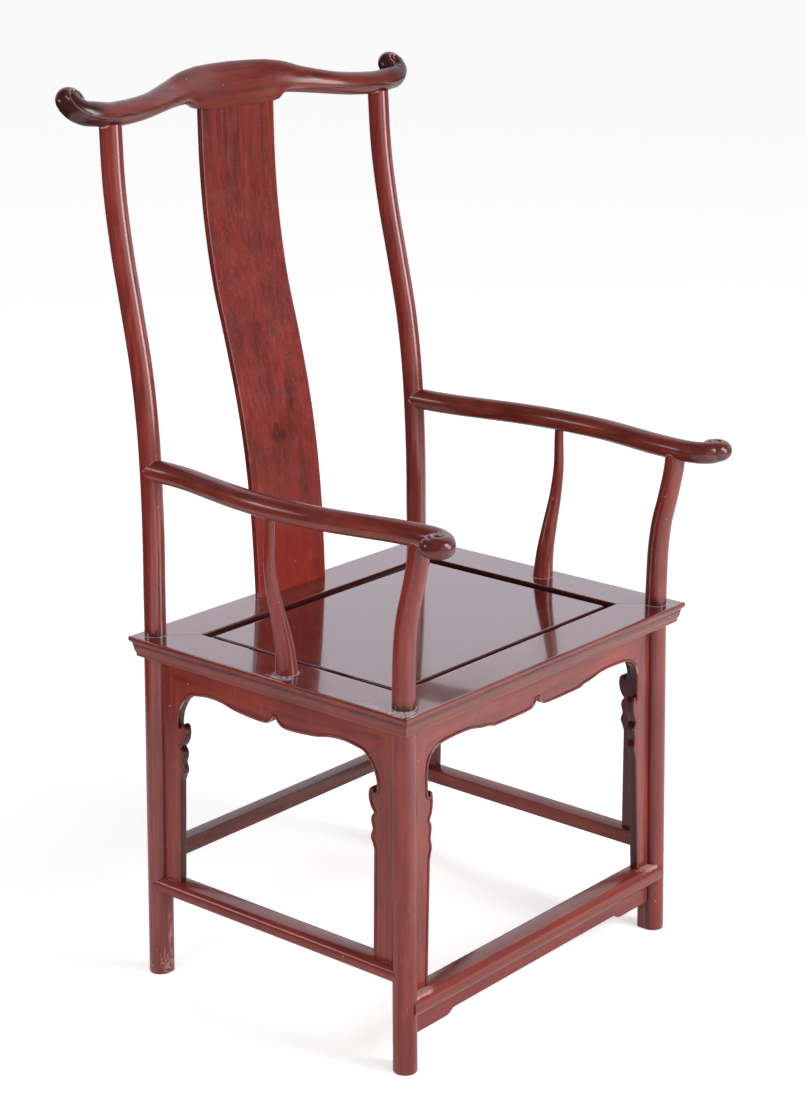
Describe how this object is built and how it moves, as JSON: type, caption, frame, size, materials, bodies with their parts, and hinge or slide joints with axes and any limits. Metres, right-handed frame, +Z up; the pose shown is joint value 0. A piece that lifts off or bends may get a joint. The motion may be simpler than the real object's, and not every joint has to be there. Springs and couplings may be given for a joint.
{
  "type": "open armchair",
  "caption": "Carved open armchair: yoke-shaped crest rail and bowed arms with curled knobs, curved splat, moulded plank seat, carved aprons, splayed round legs and footrest.",
  "frame": {"origin": "middle of the chair's bounding box, on the floor between the four feet", "axes": "+Z up, -Y towards the front of the chair, +X to the right of someone who faces its front"},
  "size_m": [0.684, 0.6622, 1.2421],
  "materials": {
    "frame_lacquer": "glossy reddish-brown lacquer over hardwood, worn at the arrises",
    "red_lacquer": "glossy redder lacquer over upright grain",
    "seat_lacquer": "mirror-like dark lacquer",
    "bare_wood": "bare planed hardwood, hidden under the seat"
  },
  "bodies": {
    "root": {"front_seat_rail": "frame_lacquer", "rear_seat_rail": "frame_lacquer", "right_seat_rail": "frame_lacquer", "left_seat_rail": "frame_lacquer", "seat_panel": "seat_lacquer", "right_seat_batten": "bare_wood", "left_seat_batten": "bare_wood", "right_front_post": "frame_lacquer", "left_front_post": "frame_lacquer", "right_rear_post": "frame_lacquer", "left_rear_post": "frame_lacquer", "crest_rail": "frame_lacquer", "back_splat": "red_lacquer", "right_armrest": "frame_lacquer", "left_armrest": "frame_lacquer", "right_side_post": "frame_lacquer", "left_side_post": "frame_lacquer", "front_apron": "frame_lacquer", "back_apron": "frame_lacquer", "right_apron": "frame_lacquer", "left_apron": "frame_lacquer", "front_right_strip": "frame_lacquer", "front_left_strip": "frame_lacquer", "right_front_strip": "frame_lacquer", "left_front_strip": "frame_lacquer", "right_rear_strip": "frame_lacquer", "left_rear_strip": "frame_lacquer", "right_stretcher": "frame_lacquer", "left_stretcher": "frame_lacquer", "rear_stretcher": "frame_lacquer", "footrest_rail": "frame_lacquer", "footrest_apron": "frame_lacquer"}
  },
  "joints": []
}
